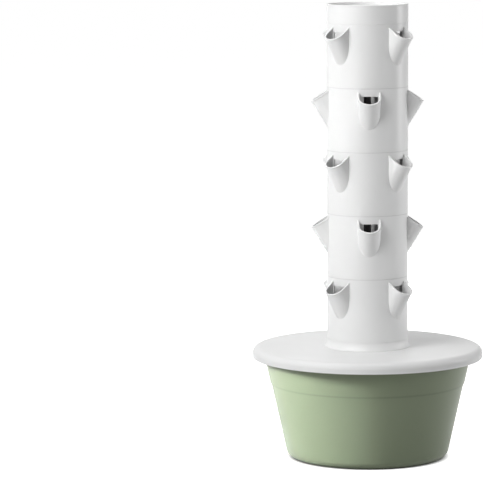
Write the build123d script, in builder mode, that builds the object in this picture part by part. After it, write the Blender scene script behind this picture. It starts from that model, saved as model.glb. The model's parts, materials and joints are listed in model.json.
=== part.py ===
from build123d import *
import math
import os

# Hydroponic tower: a lidded tub with a pump in it, and a stack of planting modules watered from the top.
# Millimetres, +Z up, origin on the ground under the tower's axis, front towards -Y.

# Tub
tub_height = 218.9
tub_foot_radius = 158.5
tub_draft = 12.5
tub_wall = 2.8
band_level = 149.4
band_step = 1.6
foot_round = 18.0
foot_recess = 3.0
foot_ring_width = 12.0
rim_width = 7.0
rim_drop = 8.0
rim_thickness = 3.0

# Lid
lid_wall = 2.6
lid_overhang = 12.7
lid_shoulder = 12.5
lid_lip_drop = 8.5
lid_lip_tuck = 0.5
skirt_depth = 14.0
skirt_wall = 2.2
skirt_clearance = 0.8

# Socket under the tower, with its drain plate
socket_height = 16.5
socket_flare = 4.0
socket_edge = 1.5
socket_ledge = 1.6
socket_hole = 70.0
socket_plug_drop = 6.0
socket_plug_wall = 2.2
socket_clearance = 0.3
plate_thickness = 2.0
plate_clearance = 0.3
drain_count = 8
drain_ring = 43.0
drain_length = 36.0
drain_width = 8.0

# Fill port and its cap, behind the tower
fill_port_inset = 80.0
fill_port_radius = 25.0
cap_flange = 4.0
cap_thickness = 3.0
cap_plug_depth = 9.0
cap_plug_wall = 2.0
cap_clearance = 0.4
cap_grip_length = 36.0
cap_grip_width = 9.0
cap_grip_height = 8.0
cap_grip_edge = 1.5

# Cable grommet, behind the tower
grommet_side = -50.0
grommet_inset = 72.0
grommet_neck = 7.0
grommet_flange = 3.0
grommet_lip = 1.5
grommet_bore = 3.2
grommet_clearance = 0.1

# Tower modules
tower_radius = 80.0
tower_wall = 2.4
module_count = 5
module_height = 125.0
module_turn = 45.0
spigot_length = 10.0
spigot_wall = 2.0
lap_clearance = 0.35
ledge_level = 3.0
seam_groove = 0.6

# Pockets
pockets_per_module = 4
pocket_width = 44.0
pocket_wall = 2.2
pocket_reach = 30.7
pocket_lean = 31.0
mouth_slope = 33.5
mouth_drop = 8.7
window_drop = 15.0
window_inset = 2.5
window_sill = 6.0

# Drip trays
tray_thickness = 2.0
tray_clearance = 0.4
tray_slot_count = 12
tray_slot_ring = 52.0
tray_slot_length = 30.0
tray_slot_width = 2.5
hub_wall = 2.5
hub_height = 10.0

# Crown bowl, its nozzle and its cover
crown_height = 37.0
crown_floor = 3.0
crown_hub_height = 14.0
crown_slot_count = 16
crown_slot_ring = 45.0
crown_slot_length = 40.0
crown_slot_width = 2.5
cover_recess = 10.0
cover_thickness = 2.5
cover_clearance = 0.4
cover_ledge = 3.0
cover_ledge_thickness = 1.5
knob_radius = 11.0
knob_waist = 8.0
knob_height = 6.0
nozzle_stem = 6.0
nozzle_flange = 3.0
nozzle_cap_height = 7.5
nozzle_cap_wall = 2.5
nozzle_cap_edge = 2.5
nozzle_bore = 4.5
nozzle_port_radius = 1.4
nozzle_port_pairs = 4
nozzle_clearance = 0.1

# Riser
riser_radius = 7.5
riser_bore = 6.0
riser_clearance = 0.5
riser_end_gap = 0.5
riser_top_rise = 6.0
riser_joint_drop = 16.5
connector_length = 40.0
connector_bore = 4.5
connector_collar = 2.0
connector_clearance = 0.05
sleeve_wall = 2.5
sleeve_length = 30.0
sleeve_clearance = 0.05

# Pump
cup_height = 7.0
cup_radius = 9.0
cup_hollow = 2.0
cup_edge = 1.2
cup_shoulder = 4.5
cup_cone = 5.0
cup_neck = 2.8
cup_head = 4.2
cup_head_height = 2.0
cup_clearance = 0.1
cup_inset = 6.5
foot_plate_width = 66.0
foot_plate_thickness = 3.0
foot_plate_corner = 6.0
motor_length = 44.0
motor_width = 42.0
motor_height = 44.0
motor_round = 7.0
pump_wall = 2.5
chamber_radius = 18.0
chamber_length = 20.0
chamber_back_wall = 2.0
well_radius = 10.5
well_length = 36.0
outlet_bore = 4.5
outlet_length = 18.0
gland_radius = 5.0
gland_length = 8.0
gland_bore = 3.2
plate_thickness = 3.0
plate_plug = 3.0
plate_plug_wall = 1.5
plate_clearance = 0.1
boss_radius = 3.5
boss_length = 4.0
inlet_count = 5
inlet_ring = 9.0
inlet_radius = 3.6
strainer_length = 14.0
strainer_wall = 2.0
strainer_slit_count = 5
strainer_slit_pitch = 6.0
strainer_slit_width = 2.5
strainer_slit_height = 24.0
shaft_radius = 1.25
shaft_seat = 4.0
shaft_clearance = 0.05
magnet_radius = 9.6
magnet_clearance = 1.0
impeller_hub = 5.5
impeller_radius = 15.5
impeller_length = 9.0
blade_count = 6
blade_thickness = 2.0
rotor_play = 0.5

# Levels and radii that follow from the sizes above
draft = math.radians(tub_draft)
tub_wall_across = tub_wall / math.cos(draft)
tub_floor = foot_recess + tub_wall
foot_ring_inner = tub_foot_radius - foot_round - foot_ring_width
lid_under = tub_height
lid_top = lid_under + lid_wall
lid_equator = lid_top - lid_shoulder
lid_bottom = lid_equator - lid_lip_drop
tower_base = lid_top + socket_height
crown_base = tower_base + module_count * module_height
tower_bore = tower_radius - tower_wall
spigot_outer = tower_bore - lap_clearance
spigot_inner = spigot_outer - spigot_wall
riser_passage = riser_radius + riser_clearance
hub_radius = riser_passage + hub_wall


def tub_skin(level, step):
    """Outer radius of the tub's drafted wall at a level, moved out by a step."""
    return tub_foot_radius + level * math.tan(draft) + step


rim_radius = tub_skin(tub_height, band_step) + rim_width
lid_radius = rim_radius + lid_overhang
shoulder_radius = lid_radius - lid_shoulder
lip_radius = lid_radius - lid_lip_tuck
fill_port_offset = lid_radius - fill_port_inset
grommet_offset = lid_radius - grommet_inset
skirt_bottom = lid_under - skirt_depth
skirt_outer = tub_skin(skirt_bottom, band_step) - tub_wall_across - skirt_clearance
skirt_inner = skirt_outer - skirt_wall

os.makedirs("parts", exist_ok=True)

# Tub: one drafted wall with a fine step, a ring to stand on and a turned-down rim
with BuildPart() as tub:
    with BuildSketch(Plane.XZ) as tub_section:
        with BuildLine():
            Polyline(
                (0, foot_recess),
                (foot_ring_inner, foot_recess),
                (foot_ring_inner, 0),
                (tub_foot_radius, 0),
                (tub_skin(band_level, 0), band_level),
                (tub_skin(band_level, band_step), band_level),
                (tub_skin(tub_height - rim_thickness, band_step), tub_height - rim_thickness),
                (rim_radius - rim_thickness, tub_height - rim_thickness),
                (rim_radius - rim_thickness, tub_height - rim_drop),
                (rim_radius, tub_height - rim_drop),
                (rim_radius, tub_height),
                (tub_skin(tub_height, band_step) - tub_wall_across, tub_height),
                (tub_skin(band_level, band_step) - tub_wall_across, band_level),
                (tub_skin(band_level, 0) - tub_wall_across, band_level),
                (tub_skin(tub_floor, 0) - tub_wall_across, tub_floor),
                (0, tub_floor),
                close=True,
            )
        make_face()
        foot_corner = (tub_foot_radius, 0)
        fillet(tub_section.vertices().sort_by_distance(foot_corner)[0], foot_round)
        floor_corner = (tub_skin(tub_floor, 0) - tub_wall_across, tub_floor)
        fillet(tub_section.vertices().sort_by_distance(floor_corner)[0], foot_round - tub_wall)
    revolve(axis=Axis.Z)
tub.part.label = "tub"
export_step(tub.part, "parts/tub.step")

# Lid: flat top with a rolled edge, a skirt inside the tub's mouth, and a hole for the tower's socket
with BuildPart() as tub_lid:
    with BuildSketch(Plane.XZ):
        with BuildLine():
            Polyline(
                (shoulder_radius, lid_top),
                (socket_hole, lid_top),
                (socket_hole, lid_under),
                (skirt_inner, lid_under),
                (skirt_inner, skirt_bottom),
                (skirt_outer, skirt_bottom),
                (skirt_outer, lid_under),
                (shoulder_radius, lid_under),
            )
            CenterArc((shoulder_radius, lid_equator), lid_shoulder - lid_wall, 0, 90)
            Polyline(
                (lid_radius - lid_wall, lid_equator),
                (lip_radius - lid_wall, lid_bottom),
                (lip_radius, lid_bottom),
                (lid_radius, lid_equator),
            )
            CenterArc((shoulder_radius, lid_equator), lid_shoulder, 0, 90)
        make_face()
    revolve(axis=Axis.Z)
    with BuildSketch(Plane.XY.offset(lid_top)):
        with Locations((0, fill_port_offset)):
            Circle(fill_port_radius)
        with Locations((grommet_side, grommet_offset)):
            Circle(grommet_neck)
    extrude(amount=-lid_wall, mode=Mode.SUBTRACT)
tub_lid.part.label = "tub_lid"
export_step(tub_lid.part, "parts/tub_lid.step")

# Socket: flared ring that plugs into the lid and takes the lowest module, with a ledge for a plate
socket_plug = socket_hole - socket_clearance
plate_level = lid_top + socket_ledge
with BuildPart() as tower_socket:
    with BuildSketch(Plane.XZ):
        with BuildLine():
            TangentArc(
                (tower_radius, tower_base),
                (tower_radius + socket_flare, lid_top + socket_edge),
                tangent=(0, -1),
            )
            Polyline(
                (tower_radius + socket_flare, lid_top + socket_edge),
                (tower_radius + socket_flare, lid_top),
                (socket_plug, lid_top),
                (socket_plug, lid_under - socket_plug_drop),
                (socket_plug - socket_plug_wall, lid_under - socket_plug_drop),
                (socket_plug - socket_plug_wall, plate_level),
                (tower_bore, plate_level),
                (tower_bore, tower_base),
                (tower_radius, tower_base),
            )
        make_face()
    revolve(axis=Axis.Z)
tower_socket.part.label = "tower_socket"
export_step(tower_socket.part, "parts/tower_socket.step")

# Drain plate: loose disc on the socket's ledge, with slots that let the water back into the tub
with BuildPart() as drain_plate:
    with BuildSketch(Plane.XY.offset(plate_level)):
        Circle(tower_bore - plate_clearance)
        Circle(riser_passage, mode=Mode.SUBTRACT)
        with PolarLocations(drain_ring, drain_count):
            SlotOverall(drain_length, drain_width, mode=Mode.SUBTRACT)
    extrude(amount=plate_thickness)
drain_plate.part.label = "drain_plate"
export_step(drain_plate.part, "parts/drain_plate.step")

# Fill cap: flanged plug with a finger grip
cap_plug_radius = fill_port_radius - cap_clearance
with BuildPart() as fill_cap:
    with BuildSketch(Plane.XY.offset(lid_top)):
        with Locations((0, fill_port_offset)):
            Circle(fill_port_radius + cap_flange)
    extrude(amount=cap_thickness)
    with BuildSketch(Plane.XY.offset(lid_top)):
        with Locations((0, fill_port_offset)):
            Circle(cap_plug_radius)
            Circle(cap_plug_radius - cap_plug_wall, mode=Mode.SUBTRACT)
    extrude(amount=-cap_plug_depth)
    with BuildSketch(Plane.XY.offset(lid_top + cap_thickness)):
        with Locations((0, fill_port_offset)):
            SlotOverall(cap_grip_length, cap_grip_width)
    extrude(amount=cap_grip_height)
    chamfer(fill_cap.faces().sort_by(Axis.Z)[-1].edges(), cap_grip_edge)
fill_cap.part.label = "fill_cap"
export_step(fill_cap.part, "parts/fill_cap.step")

# Cable grommet: a grooved ring in its hole in the lid
grommet_waist = grommet_neck - grommet_clearance
grommet_outer = grommet_neck + grommet_flange
grommet_axis = Axis((grommet_side, grommet_offset, 0), (0, 0, 1))
with BuildPart() as cable_grommet:
    with BuildSketch(Plane((grommet_side, grommet_offset, 0), x_dir=(1, 0, 0), z_dir=(0, -1, 0))):
        with BuildLine():
            Polyline(
                (grommet_bore, lid_under - grommet_lip),
                (grommet_outer, lid_under - grommet_lip),
                (grommet_outer, lid_under),
                (grommet_waist, lid_under),
                (grommet_waist, lid_top),
                (grommet_outer, lid_top),
                (grommet_outer, lid_top + grommet_lip),
                (grommet_bore, lid_top + grommet_lip),
                close=True,
            )
        make_face()
    revolve(axis=grommet_axis)
cable_grommet.part.label = "cable_grommet"
export_step(cable_grommet.part, "parts/cable_grommet.step")

# Pockets: a leaning U section that comes out of the module's wall, cut off by a sloping mouth
pocket_radius = pocket_width / 2
hollow_radius = pocket_radius - pocket_wall
lean = math.radians(pocket_lean)
slope = math.radians(mouth_slope)
mouth_level = module_height - mouth_drop
tip_level = mouth_level - pocket_reach * math.tan(slope)
scoop_centre_radius = tower_radius + pocket_reach - pocket_radius * math.cos(lean)
scoop_centre_level = tip_level + pocket_radius * math.sin(lean)
scoop_length = pocket_reach / math.sin(lean) + pocket_width
scoop_plane = Plane(
    origin=(scoop_centre_radius, 0, scoop_centre_level),
    x_dir=(math.cos(lean), 0, -math.sin(lean)),
    z_dir=(math.sin(lean), 0, math.cos(lean)),
)
mouth_plane = Plane(
    origin=(tower_radius, 0, mouth_level),
    x_dir=(math.cos(slope), 0, -math.sin(slope)),
    z_dir=(math.sin(slope), 0, math.cos(slope)),
)
hollow_reach = scoop_centre_radius + hollow_radius * math.cos(lean) - tower_radius
pocket_floor = scoop_centre_level - hollow_radius * math.sin(lean) - hollow_reach / math.tan(lean)


def make_scoop(radius, trim_radius):
    """The leaning U section of a pocket, without what lies inside a radius of the tower's axis."""
    with BuildPart() as scoop:
        with BuildSketch(scoop_plane):
            Circle(radius)
            Rectangle(pocket_width, 2 * radius, align=(Align.MAX, Align.CENTER))
        extrude(amount=scoop_length, both=True)
        with BuildSketch(Plane.XY.offset(-module_height)):
            Circle(trim_radius)
        extrude(amount=3 * module_height, mode=Mode.SUBTRACT)
    return scoop.part


scoop_hollow = make_scoop(hollow_radius, tower_radius)
with BuildPart() as scoop_form:
    add(make_scoop(pocket_radius, tower_radius - tower_wall / 2))
    split(bisect_by=mouth_plane, keep=Keep.BOTTOM)

window_width = 2 * (hollow_radius - window_inset)
window_arc_level = pocket_floor + window_sill + window_width / 2
with BuildPart() as window:
    with BuildSketch(Plane.YZ.offset(tower_radius / 2)):
        with Locations((0, window_arc_level)):
            Circle(window_width / 2)
            Rectangle(
                window_width,
                module_height - window_drop - window_arc_level,
                align=(Align.CENTER, Align.MIN),
            )
    extrude(amount=tower_radius / 2)

# Module: tube with a spigot that drops into the module below, a ledge for its tray, and four pockets
with BuildPart() as module:
    with BuildSketch(Plane.XZ):
        with BuildLine():
            Polyline(
                (spigot_inner, -spigot_length),
                (spigot_outer, -spigot_length),
                (spigot_outer, 0),
                (tower_radius - seam_groove, 0),
                (tower_radius, seam_groove),
                (tower_radius, module_height),
                (tower_bore, module_height),
                (tower_bore, ledge_level),
                (spigot_inner, ledge_level),
                close=True,
            )
        make_face()
    revolve(axis=Axis.Z)
    with PolarLocations(0, pockets_per_module):
        add(scoop_form.part)
    with PolarLocations(0, pockets_per_module):
        add(scoop_hollow, mode=Mode.SUBTRACT)
        add(window.part, mode=Mode.SUBTRACT)

# Drip tray: slotted disc on the module's ledge, with a hub round the riser
with BuildPart() as tray:
    with BuildSketch(Plane.XY.offset(ledge_level)):
        Circle(tower_bore - tray_clearance)
        Circle(riser_passage, mode=Mode.SUBTRACT)
        with PolarLocations(tray_slot_ring, tray_slot_count):
            Rectangle(tray_slot_length, tray_slot_width, mode=Mode.SUBTRACT)
    extrude(amount=tray_thickness)
    with BuildSketch(Plane.XY.offset(ledge_level + tray_thickness)):
        Circle(hub_radius)
        Circle(riser_passage, mode=Mode.SUBTRACT)
    extrude(amount=hub_height)

# The stack: each module and its tray stand on the one below, turned by half the pocket spacing
for index in range(module_count):
    turn = module_turn * ((index + 1) % 2)
    place = Location((0, 0, tower_base + index * module_height), (0, 0, turn))
    for piece, name in ((module.part, "tower_module"), (tray.part, "drip_tray")):
        stacked = piece.moved(place)
        stacked.label = f"{name}_{index + 1}"
        export_step(stacked, f"parts/{stacked.label}.step")

# Crown bowl: ring over the top module, with a slotted floor, a nozzle hub and a ledge for the cover
cover_seat = crown_height - cover_recess - cover_thickness
ledge_radius = tower_bore - cover_ledge
with BuildPart() as crown_bowl:
    with BuildSketch(Plane.XZ):
        with BuildLine():
            Polyline(
                (0, crown_base),
                (spigot_inner, crown_base),
                (spigot_inner, crown_base - spigot_length),
                (spigot_outer, crown_base - spigot_length),
                (spigot_outer, crown_base),
                (tower_radius - seam_groove, crown_base),
                (tower_radius, crown_base + seam_groove),
                (tower_radius, crown_base + crown_height),
                (tower_bore, crown_base + crown_height),
                (tower_bore, crown_base + cover_seat),
                (ledge_radius, crown_base + cover_seat),
                (ledge_radius, crown_base + cover_seat - cover_ledge_thickness),
                (tower_bore, crown_base + cover_seat - cover_ledge_thickness - cover_ledge),
                (tower_bore, crown_base + crown_floor),
                (0, crown_base + crown_floor),
                close=True,
            )
        make_face()
    revolve(axis=Axis.Z)
    with BuildSketch(Plane.XY.offset(crown_base)):
        Circle(hub_radius)
    extrude(amount=crown_hub_height)
    with BuildSketch(Plane.XY.offset(crown_base)):
        Circle(riser_passage)
    extrude(amount=crown_hub_height, mode=Mode.SUBTRACT)
    with BuildSketch(Plane.XY.offset(crown_base)):
        with PolarLocations(crown_slot_ring, crown_slot_count):
            Rectangle(crown_slot_length, crown_slot_width)
    extrude(amount=crown_floor, mode=Mode.SUBTRACT)
crown_bowl.part.label = "crown_bowl"
export_step(crown_bowl.part, "parts/crown_bowl.step")

# Spray nozzle: capped stem in the crown's hub, with ports all round under the cap
nozzle_level = crown_base + crown_hub_height
nozzle_radius = hub_radius + nozzle_flange
nozzle_stem_radius = riser_passage - nozzle_clearance
nozzle_top = nozzle_level + nozzle_cap_height
with BuildPart() as spray_nozzle:
    with BuildSketch(Plane.XZ) as nozzle_section:
        with BuildLine():
            Polyline(
                (nozzle_bore, nozzle_level - nozzle_stem),
                (nozzle_stem_radius, nozzle_level - nozzle_stem),
                (nozzle_stem_radius, nozzle_level),
                (nozzle_radius, nozzle_level),
                (nozzle_radius, nozzle_top),
                (0, nozzle_top),
                (0, nozzle_top - nozzle_cap_wall),
                (nozzle_bore, nozzle_top - nozzle_cap_wall),
                close=True,
            )
        make_face()
        chamfer(nozzle_section.vertices().sort_by_distance((nozzle_radius, nozzle_top))[0], nozzle_cap_edge)
    revolve(axis=Axis.Z)
    for pair in range(nozzle_port_pairs):
        port_turn = pair * 180 / nozzle_port_pairs
        with Locations((0, 0, nozzle_level + (nozzle_cap_height - nozzle_cap_wall) / 2)):
            Cylinder(
                nozzle_port_radius,
                2 * nozzle_radius,
                rotation=(0, 90, port_turn),
                mode=Mode.SUBTRACT,
            )
spray_nozzle.part.label = "spray_nozzle"
export_step(spray_nozzle.part, "parts/spray_nozzle.step")

# Top cover: loose disc under the crown's rim, with a waisted knob
cover_level = crown_base + cover_seat
cover_top = cover_level + cover_thickness
with BuildPart() as top_cover:
    with BuildSketch(Plane.XZ):
        with BuildLine():
            Polyline(
                (0, cover_level),
                (tower_bore - cover_clearance, cover_level),
                (tower_bore - cover_clearance, cover_top),
                (knob_waist, cover_top),
                (knob_waist, cover_top + knob_height / 3),
                (knob_radius, cover_top + 2 * knob_height / 3),
                (knob_radius, cover_top + knob_height),
                (0, cover_top + knob_height),
                close=True,
            )
        make_face()
    revolve(axis=Axis.Z)
top_cover.part.label = "top_cover"
export_step(top_cover.part, "parts/top_cover.step")

# Pump levels: the rotor lies along X, and the outlet rises on the tower's axis at the chamber's side
pump_bottom = tub_floor + cup_height
rotor_level = pump_bottom + motor_height / 2
rotor_side = outlet_bore - chamber_radius
chamber_front = -chamber_length / 2
chamber_back = chamber_front + chamber_length
chamber_shell = chamber_radius + pump_wall
motor_back = chamber_back + motor_length
well_front = chamber_back - chamber_back_wall
well_end = well_front + well_length
outlet_top = rotor_level + chamber_shell + outlet_length
foot_plate_length = motor_back - chamber_front
foot_plate_middle = (motor_back + chamber_front) / 2
cup_spread = foot_plate_length - 2 * cup_inset
cup_width = foot_plate_width - 2 * cup_inset


def across_rotor(place):
    """Sketch plane square to the rotor's axis, at a place along X."""
    return Plane(origin=(place, rotor_side, rotor_level), x_dir=(0, 1, 0), z_dir=(1, 0, 0))


# Pump housing: motor block, impeller chamber, upright outlet, foot plate and the gland of its lead
with BuildPart() as pump_housing:
    with BuildSketch(across_rotor(chamber_back)):
        RectangleRounded(motor_width, motor_height, motor_round)
    extrude(amount=motor_length)
    with BuildSketch(across_rotor(chamber_front)):
        Circle(chamber_shell)
    extrude(amount=chamber_length)
    with BuildSketch(Plane.XY.offset(rotor_level)):
        Circle(riser_radius)
    extrude(amount=outlet_top - rotor_level)
    with BuildSketch(Plane.XY.offset(pump_bottom)):
        with Locations((foot_plate_middle, rotor_side)):
            RectangleRounded(foot_plate_length, foot_plate_width, foot_plate_corner)
    extrude(amount=foot_plate_thickness)
    with BuildSketch(across_rotor(motor_back)):
        Circle(gland_radius)
        Circle(gland_bore, mode=Mode.SUBTRACT)
    extrude(amount=gland_length)
    with BuildSketch(across_rotor(chamber_front)):
        Circle(chamber_radius)
    extrude(amount=chamber_length - chamber_back_wall, mode=Mode.SUBTRACT)
    with BuildSketch(across_rotor(well_front)):
        Circle(well_radius)
    extrude(amount=well_length, mode=Mode.SUBTRACT)
    with BuildSketch(across_rotor(well_end)):
        Circle(shaft_radius + shaft_clearance)
    extrude(amount=shaft_seat, mode=Mode.SUBTRACT)
    with BuildSketch(Plane.XY.offset(rotor_level)):
        Circle(outlet_bore)
    extrude(amount=outlet_top - rotor_level, mode=Mode.SUBTRACT)
    with BuildSketch(Plane.XY.offset(pump_bottom)):
        with Locations((foot_plate_middle, rotor_side)):
            with GridLocations(cup_spread, cup_width, 2, 2):
                Circle(cup_neck + cup_clearance)
    extrude(amount=foot_plate_thickness, mode=Mode.SUBTRACT)
pump_housing.part.label = "pump_housing"
export_step(pump_housing.part, "parts/pump_housing.step")

# Intake plate: closes the chamber, with inlets round the boss that holds the shaft
with BuildPart() as pump_intake_plate:
    with BuildSketch(across_rotor(chamber_front - plate_thickness)):
        Circle(chamber_shell)
    extrude(amount=plate_thickness)
    with BuildSketch(across_rotor(chamber_front)):
        Circle(chamber_radius - plate_clearance)
        Circle(chamber_radius - plate_clearance - plate_plug_wall, mode=Mode.SUBTRACT)
        Circle(boss_radius)
    extrude(amount=plate_plug)
    with BuildSketch(across_rotor(chamber_front)):
        Circle(boss_radius)
    extrude(amount=boss_length)
    with BuildSketch(across_rotor(chamber_front)):
        with PolarLocations(inlet_ring, inlet_count):
            Circle(inlet_radius)
    extrude(amount=-plate_thickness, mode=Mode.SUBTRACT)
    with BuildSketch(across_rotor(chamber_front + boss_length)):
        Circle(shaft_radius + shaft_clearance)
    extrude(amount=-shaft_seat, mode=Mode.SUBTRACT)
pump_intake_plate.part.label = "pump_intake_plate"
export_step(pump_intake_plate.part, "parts/pump_intake_plate.step")

# Strainer: slitted cup over the inlets
strainer_back = chamber_front - plate_thickness
strainer_front = strainer_back - strainer_length
with BuildPart() as pump_strainer:
    with BuildSketch(across_rotor(strainer_front)):
        Circle(chamber_shell)
    extrude(amount=strainer_length)
    with BuildSketch(across_rotor(strainer_front + strainer_wall)):
        Circle(chamber_shell - strainer_wall)
    extrude(amount=strainer_length - strainer_wall, mode=Mode.SUBTRACT)
    with BuildSketch(across_rotor(strainer_front)):
        with GridLocations(strainer_slit_pitch, 0, strainer_slit_count, 1):
            Rectangle(strainer_slit_width, strainer_slit_height)
    extrude(amount=strainer_wall, mode=Mode.SUBTRACT)
pump_strainer.part.label = "pump_strainer"
export_step(pump_strainer.part, "parts/pump_strainer.step")

# Rotor: magnet in the well and a bladed impeller in the chamber, on a fixed shaft
rotor_front = chamber_front + boss_length + rotor_play
magnet_front = well_front + magnet_clearance
blade_span = impeller_radius - impeller_hub / 2
with BuildPart() as pump_rotor:
    with BuildSketch(across_rotor(magnet_front)):
        Circle(magnet_radius)
    extrude(amount=well_end - rotor_play - magnet_front)
    with BuildSketch(across_rotor(rotor_front)):
        Circle(impeller_hub)
    extrude(amount=magnet_front - rotor_front)
    with BuildSketch(across_rotor(rotor_front)):
        with PolarLocations(impeller_radius - blade_span / 2, blade_count):
            Rectangle(blade_span, blade_thickness)
    extrude(amount=impeller_length)
    with BuildSketch(across_rotor(rotor_front)):
        Circle(shaft_radius + shaft_clearance)
    extrude(amount=well_end - rotor_front, mode=Mode.SUBTRACT)
pump_rotor.part.label = "pump_rotor"
export_step(pump_rotor.part, "parts/pump_rotor.step")

# Shaft: fixed pin between the intake plate's boss and the end of the well
shaft_front = chamber_front + boss_length - shaft_seat
with BuildPart() as pump_shaft:
    with BuildSketch(across_rotor(shaft_front)):
        Circle(shaft_radius)
    extrude(amount=well_end + shaft_seat - shaft_front)
pump_shaft.part.label = "pump_shaft"
export_step(pump_shaft.part, "parts/pump_shaft.step")

# Suction cups: four rubber feet, each with a neck through the foot plate
with BuildPart() as suction_cup:
    with BuildSketch(Plane.XZ):
        with BuildLine():
            Polyline(
                (0, cup_hollow),
                (cup_radius - cup_edge, 0),
                (cup_radius, 0),
                (cup_shoulder, cup_cone),
                (cup_shoulder, cup_height),
                (cup_neck, cup_height),
                (cup_neck, cup_height + foot_plate_thickness),
                (cup_head, cup_height + foot_plate_thickness),
                (cup_head, cup_height + foot_plate_thickness + cup_head_height),
                (0, cup_height + foot_plate_thickness + cup_head_height),
                close=True,
            )
        make_face()
    revolve(axis=Axis.Z)
with BuildPart() as pump_suction_cups:
    with Locations((foot_plate_middle, rotor_side, tub_floor)):
        with GridLocations(cup_spread, cup_width, 2, 2):
            add(suction_cup.part)
pump_suction_cups.part.label = "pump_suction_cups"
export_step(pump_suction_cups.part, "parts/pump_suction_cups.step")

# Riser: two lengths of pipe joined by a flush connector, sleeved onto the pump's outlet
riser_foot = outlet_top + riser_end_gap
riser_top = crown_base + riser_top_rise
riser_joint = tower_base + module_count // 2 * module_height - riser_joint_drop


def make_tube(outer, bore, bottom, top):
    """Straight upright tube on the tower's axis."""
    with BuildPart() as tube:
        with BuildSketch(Plane.XY.offset(bottom)):
            Circle(outer)
            Circle(bore, mode=Mode.SUBTRACT)
        extrude(amount=top - bottom)
    return tube.part


riser_pipe_lower = make_tube(riser_radius, riser_bore, riser_foot, riser_joint - connector_collar / 2)
riser_pipe_lower.label = "riser_pipe_lower"
export_step(riser_pipe_lower, "parts/riser_pipe_lower.step")

riser_pipe_upper = make_tube(riser_radius, riser_bore, riser_joint + connector_collar / 2, riser_top)
riser_pipe_upper.label = "riser_pipe_upper"
export_step(riser_pipe_upper, "parts/riser_pipe_upper.step")

riser_sleeve = make_tube(
    riser_radius + sleeve_clearance + sleeve_wall,
    riser_radius + sleeve_clearance,
    riser_foot - sleeve_length / 2,
    riser_foot + sleeve_length / 2,
)
riser_sleeve.label = "riser_sleeve"
export_step(riser_sleeve, "parts/riser_sleeve.step")

with BuildPart() as riser_connector:
    with BuildSketch(Plane.XY.offset(riser_joint - connector_length / 2)):
        Circle(riser_bore - connector_clearance)
    extrude(amount=connector_length)
    with BuildSketch(Plane.XY.offset(riser_joint - connector_collar / 2)):
        Circle(riser_radius)
    extrude(amount=connector_collar)
    with BuildSketch(Plane.XY.offset(riser_joint - connector_length / 2)):
        Circle(connector_bore)
    extrude(amount=connector_length, mode=Mode.SUBTRACT)
riser_connector.part.label = "riser_connector"
export_step(riser_connector.part, "parts/riser_connector.step")
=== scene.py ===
"""Looks of the hydroponic tower: its moulded trim and finishes, the studio light and the camera."""

import json
import logging
import math
from dataclasses import dataclass, field
from enum import Enum

import bmesh
import bpy
from mathutils import Matrix, Vector


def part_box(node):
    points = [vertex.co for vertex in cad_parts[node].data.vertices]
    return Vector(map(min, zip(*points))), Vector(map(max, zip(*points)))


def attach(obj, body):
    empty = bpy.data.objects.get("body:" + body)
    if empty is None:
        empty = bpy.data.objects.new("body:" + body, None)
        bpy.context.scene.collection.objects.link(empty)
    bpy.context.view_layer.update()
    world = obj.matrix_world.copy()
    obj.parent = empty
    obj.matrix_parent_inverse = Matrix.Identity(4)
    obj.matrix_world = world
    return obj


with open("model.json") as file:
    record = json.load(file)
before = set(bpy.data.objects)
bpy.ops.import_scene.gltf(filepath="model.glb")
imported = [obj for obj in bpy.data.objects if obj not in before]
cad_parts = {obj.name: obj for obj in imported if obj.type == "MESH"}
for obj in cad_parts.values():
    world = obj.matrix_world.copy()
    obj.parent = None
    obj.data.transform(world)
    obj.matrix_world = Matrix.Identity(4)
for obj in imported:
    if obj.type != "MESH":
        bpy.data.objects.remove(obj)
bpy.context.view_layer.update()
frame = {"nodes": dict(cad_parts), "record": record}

LOG = logging.getLogger("hydroponic_tower")
MM = 0.001
EDGE_STEPS = 4
BEVEL_STEPS = 2
RING_STEPS = 180
WIDE_RING_STEPS = 240
ROUND_SHARE = 0.9
SKIN_NOISE = {"Grain": (3.0, 0.6), "Mottle": (4.0, 0.5)}
RUB_DETAIL = 5.0
RUB_BAND = (0.60, 0.72)
PATCH_SCALE = 9.0
PATCH_BAND = (0.5, 0.7)
GLOSS_BAND = (0.3, 0.7)
RUB_DULLING = 0.2
RGB = tuple[float, float, float]


class Slot(Enum):
    """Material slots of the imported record."""

    TOWER = "tower_white"
    LID = "lid_white"
    TUB = "tub_green"
    PIPE = "pipe_black"
    PUMP = "pump_black"
    ROTOR = "rotor_grey"
    SHAFT = "shaft_steel"
    RUBBER = "rubber_black"
    SILICONE = "silicone"


class Turning(Enum):
    """How the pockets of a module face."""

    SQUARE = 0.0
    DIAGONAL = math.radians(45)


class ShaderGroup:
    """A shader node group built once, with named inputs and outputs."""

    def __init__(self, name: str, inputs: dict[str, str], outputs: dict[str, str]) -> None:
        """Makes the empty group.

        Args:
            name: Name of the group.
            inputs: Socket type for each input's name.
            outputs: Socket type for each output's name.
        """
        self.tree = bpy.data.node_groups.new(name, "ShaderNodeTree")
        for label, kind in inputs.items():
            self.tree.interface.new_socket(label, in_out="INPUT", socket_type=kind)
        for label, kind in outputs.items():
            self.tree.interface.new_socket(label, in_out="OUTPUT", socket_type=kind)
        self.source = self.tree.nodes.new("NodeGroupInput")
        self.sink = self.tree.nodes.new("NodeGroupOutput")

    def node(self, kind: str) -> bpy.types.Node:
        """Adds a node of that kind to the group and returns it."""
        return self.tree.nodes.new(kind)

    def link(self, start: bpy.types.NodeSocket, end: bpy.types.NodeSocket) -> None:
        """Joins two sockets of the group."""
        self.tree.links.new(start, end)


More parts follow.
